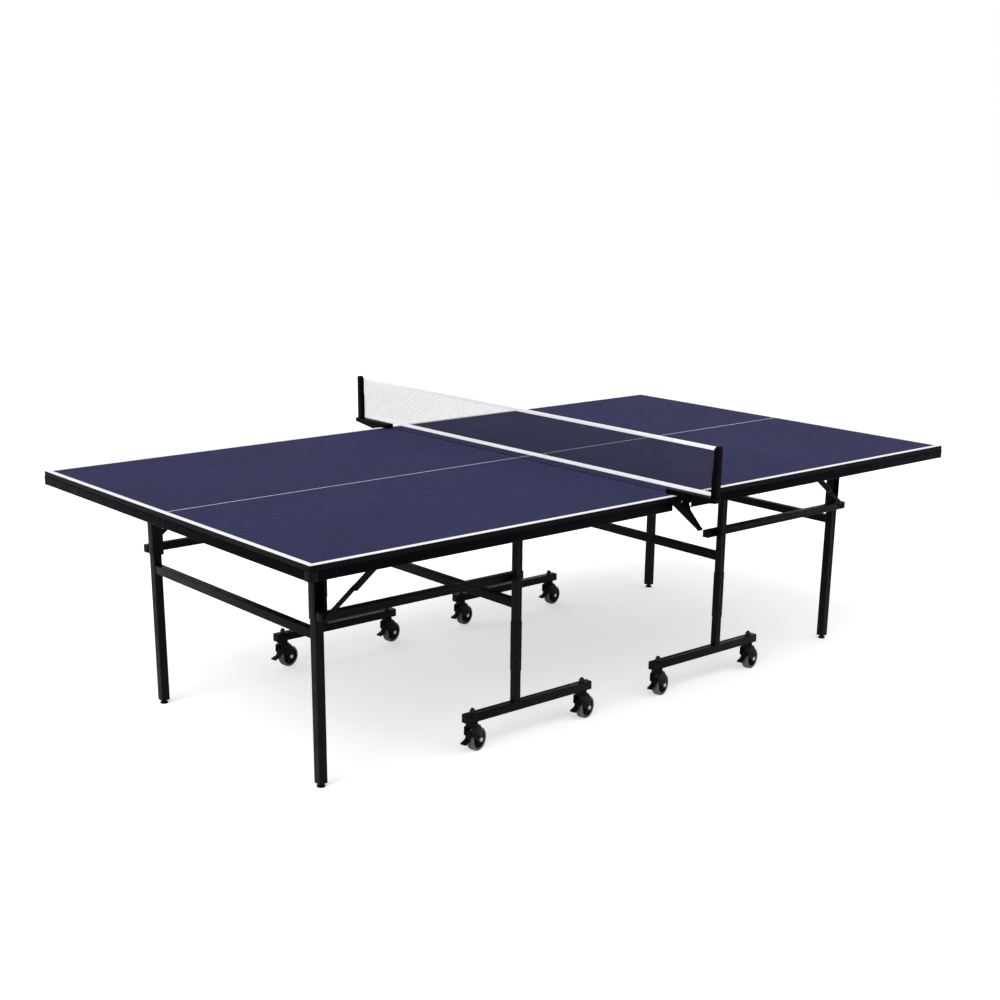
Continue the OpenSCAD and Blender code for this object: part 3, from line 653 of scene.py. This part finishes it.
def rib(side, angle):
    """One rib of the hub, from its boss to its rim."""
    reach = (BOSS_R + RIM_R - HUB_WALL) / 2
    height = HUB_W / 2 - HUB_DISH / 2 - RIB_SUNK
    deselect()
    bpy.ops.mesh.primitive_cube_add(
        size=1,
        location=(reach * math.cos(angle), reach * math.sin(angle), side * height),
        rotation=(0, 0, angle),
        scale=(RIM_R - HUB_WALL - BOSS_R + MM, RIB_W, HUB_DISH),
    )
    obj = bpy.context.object
    settle(obj)
    bevel(obj, RIB_EASE)
    return obj


def hub():
    """A moulded hub about Z: a dished web on both sides, a boss round the axle and ribs."""
    body = turned("hub", RIM_R, HUB_W)
    for side in (-1, 1):
        sink, rise = (0, 0, -side * HUB_DISH), (0, 0, side * (HUB_DISH + BOSS_PROUD))
        faces_where(body, lambda c, n: n.z * side > FACING and from_axis(c) < MM)
        bpy.ops.mesh.inset(thickness=HUB_WALL)
        bpy.ops.mesh.extrude_region_move(TRANSFORM_OT_translate={"value": sink})
        bpy.ops.mesh.inset(thickness=RIM_R - HUB_WALL - BOSS_R)
        bpy.ops.mesh.extrude_region_move(TRANSFORM_OT_translate={"value": rise})
        bpy.ops.mesh.inset(thickness=BOSS_R - AXLE_R - AXLE_PLAY)
    through_hole(body)
    bpy.ops.object.mode_set(mode="OBJECT")
    bevel(body, HUB_EASE)
    ribs = [rib(side, turn * math.tau / RIBS) for side in (-1, 1) for turn in range(RIBS)]
    whole = join([body] + ribs, "hub")
    smooth(whole, ROUND_SMOOTH_ANGLE)
    dress(whole, MATERIALS["hub"])
    return whole


def bright_axle_ends(fork, centre, axis):
    """Gives the two riveted ends of the axle the bright plating that the cheeks don't have."""
    fork.data.materials.append(MATERIALS["rivet"])
    for face in fork.data.polygons:
        offset = face.center - centre
        along = offset.dot(axis)
        if (offset - along * axis).length < RIVET_R and abs(along) > CHEEK_FROM_MIDDLE:
            face.material_index = 1


def caster_pieces():
    tyre_model, hub_model = tyre(), hub()
    joint_of = {joint["child"]: joint for joint in frame["joints"]}
    for number in CASTERS:
        fork = eased(f"caster_{number}_fork", FORK_EASE)
        eased(f"caster_{number}_brake_pedal", PEDAL_EASE, 3)
        joint = joint_of[f"wheel_{number}"]
        centre, axis = Vector(joint["pos_m"]), Vector(joint["axis"]).normalized()
        turn = axis.to_track_quat("Z", "Y").to_matrix().to_4x4()
        place = Matrix.Translation(centre) @ turn
        ring = placed_copy(tyre_model, f"tyre_{number}", place)
        hand_over(ring, f"wheel_{number}", [f"caster_{number}_wheel"])
        core = placed_copy(hub_model, f"hub_{number}", place)
        hand_over(core, f"wheel_{number}")
        bright_axle_ends(fork, centre, axis)
    for model in (tyre_model, hub_model):
        bpy.data.objects.remove(model)


# ---------------------------------------------------------------- net clamps

BOARD_TOP = 760 * MM
CLAMP_PAD_TOP = BOARD_TOP + 2.4 * MM
CLAMP_PAD_REACH = 750 * MM
CLAMP_PIN_R = 3.2 * MM
PIN_END_DEPTH = 0.7 * MM
CLAMP_EASE = 0.6 * MM


def net_clamps():
    """The two clamps with their posts, levers and pads, and the bright ends of their pins."""
    posts = eased("net_posts", CLAMP_EASE, 3)
    for node in ("net_lever_near", "net_lever_far"):
        eased(node, CLAMP_EASE, 3)
    posts.data.materials.append(MATERIALS["pad"])
    posts.data.materials.append(MATERIALS["rivet"])
    pins = [Vector(j["pos_m"]) for j in frame["joints"] if j["name"].startswith("net_clamp_")]
    side_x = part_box("net_posts")[0].x + PIN_END_DEPTH
    for face in posts.data.polygons:
        c = face.center
        if c.z < CLAMP_PAD_TOP and abs(c.y) < CLAMP_PAD_REACH:
            face.material_index = 1
        on_pin = any(math.hypot(c.y - pin.y, c.z - pin.z) < CLAMP_PIN_R for pin in pins)
        if c.x < side_x and on_pin:
            face.material_index = 2


# ---------------------------------------------------------------- net

NET_PITCH = 4.5 * MM
YARN_W = 0.6 * MM
LEVEL_YARN_SHARE = 0.8
TAPE_W = 12 * MM
SIDE_TAPE_W = 6 * MM
SIDE_TAPE_SHARE = 0.7
SIDE_TAPE_LAP = 1.5 * MM
SEWN_EDGE_SHARE = 0.55
TAPE_EASE = 0.6 * MM
STITCH_HALF = 0.3 * MM
STITCH_LENGTH = 2.4 * MM
STITCH_W = 0.5 * MM
STITCH_STEP = 4 * MM
STITCH_END = 3 * MM
SEAM_INSET = 2.5 * MM
SEAM_OUT = 0.58
SIDE_SEAM_INSET = 1.5 * MM
SIDE_SEAM_OUT = 0.66


def net_mesh(low, high):
    """Square mesh of knotless yarn, whose ends are sewn into the tapes."""
    side, tuck = SIDE_TAPE_W / 2, TAPE_W / 2
    y0, y1, z0, z1 = low.y + side, high.y - side, low.z + tuck, high.z - tuck
    half = YARN_W / 2
    upright = bar("uprights", (-half, y0, z0), (half, y0 + YARN_W, z1))
    repeat(upright, (0, NET_PITCH, 0), int((y1 - y0) / NET_PITCH) + 1)
    half *= LEVEL_YARN_SHARE
    level = bar("levels", (-half, y0, z0), (half, y1, z0 + YARN_W))
    repeat(level, (0, 0, NET_PITCH), int((z1 - z0) / NET_PITCH) + 1)
    mesh = join([upright, level], "net_mesh")
    dress(mesh, MATERIALS["yarn"])
    return hand_over(mesh, BODY_OF["net"], ["net"])


def folded_tape(name, low, high, fold_z):
    """A tape folded over the net's edge: full at the fold, thinner at the two sewn edges."""
    tape = bar(name, low, high)
    bpy.ops.object.mode_set(mode="EDIT")
    bpy.ops.mesh.select_all(action="SELECT")
    middle = (low[2] + high[2]) / 2
    bpy.ops.mesh.bisect(plane_co=(0, 0, (middle + fold_z) / 2), plane_no=(0, 0, 1))
    bpy.ops.mesh.select_mode(type="FACE")
    faces_where(tape, lambda c, n: abs(n.z) > FACING and abs(c.z - fold_z) > TAPE_W / 2)
    bpy.ops.transform.resize(value=(SEWN_EDGE_SHARE, 1, 1))
    bpy.ops.object.mode_set(mode="OBJECT")
    return tape


def net_tapes(low, high):
    inset = STITCH_HALF / 2
    x0, x1 = low.x + inset, high.x - inset
    tapes = [
        folded_tape("top", (x0, low.y, high.z - TAPE_W), (x1, high.y, high.z), high.z),
        folded_tape("bottom", (x0, low.y, low.z), (x1, high.y, low.z + TAPE_W), low.z),
    ]
    z0, z1 = low.z + TAPE_W - SIDE_TAPE_LAP, high.z - TAPE_W + SIDE_TAPE_LAP
    for start, stop in ((low.y, low.y + SIDE_TAPE_W), (high.y - SIDE_TAPE_W, high.y)):
        corners = (x0 * SIDE_TAPE_SHARE, start, z0), (x1 * SIDE_TAPE_SHARE, stop, z1)
        tapes.append(bar("side", *corners))
    edging = join(tapes, "net_tapes")
    bevel(edging, TAPE_EASE, 3)
    smooth(edging)
    dress(edging, MATERIALS["tape"])
    return hand_over(edging, BODY_OF["net"])


def seam(x, y, z, upright, length):
    """A row of thread stitches from a place, up or along the net."""
    wide, tall = (STITCH_W, STITCH_LENGTH) if upright else (STITCH_LENGTH, STITCH_W)
    step = (0, 0, STITCH_STEP) if upright else (0, STITCH_STEP, 0)
    stitch = bar("stitch", (x - STITCH_HALF, y, z), (x + STITCH_HALF, y + wide, z + tall))
    repeat(stitch, step, int(length / STITCH_STEP))
    return stitch


def net_stitches(low, high):
    """The seams along the sewn edge of each tape, on both faces of the net."""
    from_edge, from_side = TAPE_W - SEAM_INSET, SIDE_TAPE_W - SIDE_SEAM_INSET
    width, height = high.y - low.y - 2 * STITCH_END, high.z - low.z - 2 * TAPE_W
    seams = []
    for face in (-1, 1):
        x = face * high.x * SEAM_OUT
        for z in (high.z - from_edge, low.z + from_edge):
            seams.append(seam(x, low.y + STITCH_END, z, False, width))
        x = face * high.x * SIDE_SEAM_OUT
        for y in (low.y + from_side, high.y - from_side):
            seams.append(seam(x, y, low.z + TAPE_W, True, height))
    threads = join(seams, "net_stitches")
    dress(threads, MATERIALS["stitch"])
    return hand_over(threads, BODY_OF["net"])


def net_pieces():
    low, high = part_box("net")
    mesh = net_mesh(low, high)
    net_tapes(low, high)
    net_stitches(low, high)


# ---------------------------------------------------------------- stage and lights

WHITE = (1, 1, 1, 1)
WORLD_LEVEL = 0.6
FLOOR_GLOW = 0.50
FLOOR_COLOUR = (0.80, 0.80, 0.80, 1)
FLOOR_SIZE = 60
FLOOR_DROP = 0.4 * MM


def shown_to_eye(nodes, links, plain, bright, output):
    """Shows the bright shader to the camera and in reflections, the plain one to other light."""
    rays = nodes.new("ShaderNodeLightPath")
    seen = nodes.new("ShaderNodeMath")
    seen.operation = "ADD"
    seen.use_clamp = True
    either = nodes.new("ShaderNodeMath")
    either.operation = "ADD"
    links.new(rays.outputs["Is Camera Ray"], seen.inputs[0])
    links.new(rays.outputs["Is Glossy Ray"], either.inputs[0])
    links.new(rays.outputs["Is Transmission Ray"], either.inputs[1])
    links.new(either.outputs["Value"], seen.inputs[1])
    mix = nodes.new("ShaderNodeMixShader")
    links.new(seen.outputs["Value"], mix.inputs["Fac"])
    links.new(plain, mix.inputs[1])
    links.new(bright, mix.inputs[2])
    links.new(mix.outputs["Shader"], output)


def floor():
    """A pale floor that keeps the table's soft shadow and fades into the white round it."""
    deselect()
    bpy.ops.mesh.primitive_plane_add(size=FLOOR_SIZE, location=(0, 0, -FLOOR_DROP))
    ground = bpy.context.object
    ground.name = "floor"
    material = bpy.data.materials.new("pale_floor")
    material.use_nodes = True
    nodes, links = material.node_tree.nodes, material.node_tree.links
    nodes.remove(nodes["Principled BSDF"])
    matte = nodes.new("ShaderNodeBsdfDiffuse")
    matte.inputs["Color"].default_value = FLOOR_COLOUR
    glow = nodes.new("ShaderNodeEmission")
    glow.inputs["Strength"].default_value = FLOOR_GLOW
    both = nodes.new("ShaderNodeAddShader")
    links.new(matte.outputs["BSDF"], both.inputs[0])
    links.new(glow.outputs["Emission"], both.inputs[1])
    output = nodes["Material Output"].inputs["Surface"]
    shown_to_eye(nodes, links, matte.outputs["BSDF"], both.outputs["Shader"], output)
    ground.data.materials.append(material)


def world_light():
    """Even white light from all round, and a pure white background."""
    world = bpy.data.worlds.new("studio")
    bpy.context.scene.world = world
    world.use_nodes = True
    nodes, links = world.node_tree.nodes, world.node_tree.links
    plain = nodes["Background"]
    plain.inputs["Color"].default_value = WHITE
    plain.inputs["Strength"].default_value = WORLD_LEVEL
    white = nodes.new("ShaderNodeBackground")
    white.inputs["Color"].default_value = WHITE
    output = nodes["World Output"].inputs["Surface"]
    shown_to_eye(nodes, links, plain.outputs["Background"], white.outputs["Background"], output)


def soft_light(name, heading, height, spread, level):
    """A far light from a heading and a height, softened by its spread, all in degrees."""
    data = bpy.data.lights.new(name, "SUN")
    data.energy = level
    data.angle = math.radians(spread)
    obj = bpy.data.objects.new(name, data)
    bpy.context.scene.collection.objects.link(obj)
    obj.rotation_euler = Euler((0, math.radians(90 - height), math.radians(heading)))


for side in SIDES:
    playing_board(side)
eased_frames()
caster_pieces()
net_clamps()
net_pieces()
floor()
world_light()
soft_light("key", heading=-155, height=50, spread=50, level=1.5)
soft_light("side_fill", heading=-60, height=35, spread=60, level=0.3)
soft_light("end_fill", heading=-168, height=15, spread=40, level=1.1)
bpy.context.scene.view_settings.view_transform = "Standard"
